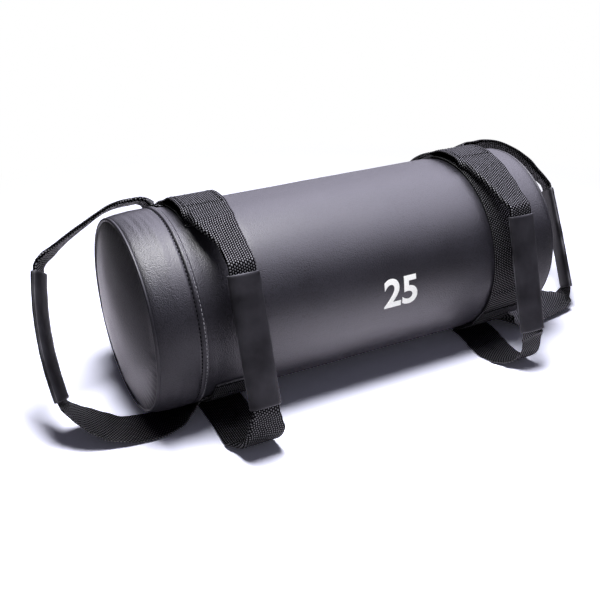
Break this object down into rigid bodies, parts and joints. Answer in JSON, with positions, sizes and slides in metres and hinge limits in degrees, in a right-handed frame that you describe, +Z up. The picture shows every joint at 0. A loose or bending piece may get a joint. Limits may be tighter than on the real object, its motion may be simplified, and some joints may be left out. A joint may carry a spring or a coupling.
{
  "type": "sandbag trainer",
  "caption": "Padded cylindrical sand-filled training bag lying on its side, with webbing girth straps and rubber-sleeved webbing handles along its front and at its ends.",
  "frame": {"origin": "middle of the footprint's bounding box, on the floor the bag lies on", "axes": "+X along the bag towards the end without the lid, -Y towards the front with the side handles, +Z up"},
  "size_m": [0.6838, 0.271, 0.2193],
  "materials": {
    "shell_vinyl": "satin",
    "lid_vinyl": "satin",
    "cap_vinyl": "satin",
    "piping_vinyl": "satin",
    "padding_foam": "matte",
    "sack_film": "satin",
    "tie_nylon": "satin",
    "quartz_sand": "matte",
    "black_webbing": "matte",
    "grip_rubber": "matte"
  },
  "bodies": {
    "bag": {"shell_panel": "shell_vinyl", "lid_band": "lid_vinyl", "left_end_cap": "cap_vinyl", "right_end_cap": "cap_vinyl", "left_end_piping": "piping_vinyl", "right_end_piping": "piping_vinyl", "left_end_foam": "padding_foam", "right_end_foam": "padding_foam", "foam_sleeve": "padding_foam", "sand_sack": "sack_film", "sack_tie": "tie_nylon", "sand_fill": "quartz_sand", "left_girth_strap": "black_webbing", "right_girth_strap": "black_webbing", "left_side_handle_root_upper": "black_webbing", "left_side_handle_root_lower": "black_webbing", "right_side_handle_root_upper": "black_webbing", "right_side_handle_root_lower": "black_webbing", "left_end_handle_root_upper": "black_webbing", "left_end_handle_root_lower": "black_webbing", "right_end_handle_root_upper": "black_webbing", "right_end_handle_root_lower": "black_webbing"},
    "left_side_handle": {"left_side_handle_loop": "black_webbing"},
    "left_side_sleeve": {"left_side_grip": "grip_rubber"},
    "right_side_handle": {"right_side_handle_loop": "black_webbing"},
    "right_side_sleeve": {"right_side_grip": "grip_rubber"},
    "left_end_handle": {"left_end_handle_loop": "black_webbing"},
    "left_end_sleeve": {"left_end_grip": "grip_rubber"},
    "right_end_handle": {"right_end_handle_loop": "black_webbing"},
    "right_end_sleeve": {"right_end_grip": "grip_rubber"}
  },
  "joints": [
    {"name": "left_side_swing", "type": "hinge", "parent": "bag", "child": "left_side_handle", "pos_m": [-0.16411, -0.05559, 0], "axis": [0, 0, 1], "range_deg": [-12, 12]},
    {"name": "right_side_swing", "type": "hinge", "parent": "bag", "child": "right_side_handle", "pos_m": [0.17364, -0.05559, 0], "axis": [0, 0, 1], "range_deg": [-12, 12]},
    {"name": "left_end_swing", "type": "hinge", "parent": "bag", "child": "left_end_handle", "pos_m": [-0.25536, 0.02941, 0.103], "axis": [0, 0.5317, 0.8469], "range_deg": [0, 15]},
    {"name": "right_end_swing", "type": "hinge", "parent": "bag", "child": "right_end_handle", "pos_m": [0.24364, 0.02941, 0.103], "axis": [0, -0.5317, -0.8469], "range_deg": [0, 15]},
    {"name": "left_side_sleeve_shift", "type": "slide", "parent": "left_side_handle", "child": "left_side_sleeve", "axis": [0.0134, 0.3632, 0.9316], "range_m": [0, 0.005]},
    {"name": "right_side_sleeve_shift", "type": "slide", "parent": "right_side_handle", "child": "right_side_sleeve", "axis": [0.027, 0.3501, 0.9363], "range_m": [0, 0.005]},
    {"name": "left_end_sleeve_shift", "type": "hinge", "parent": "left_end_handle", "child": "left_end_sleeve", "pos_m": [0.02328, 0.01585, 0.08139], "axis": [0, 0.8469, -0.5317], "range_deg": [0, 0.8068]},
    {"name": "right_end_sleeve_shift", "type": "slide", "parent": "right_end_handle", "child": "right_end_sleeve", "axis": [0.0802, 0.53, 0.8442], "range_m": [0, 0.005]}
  ]
}
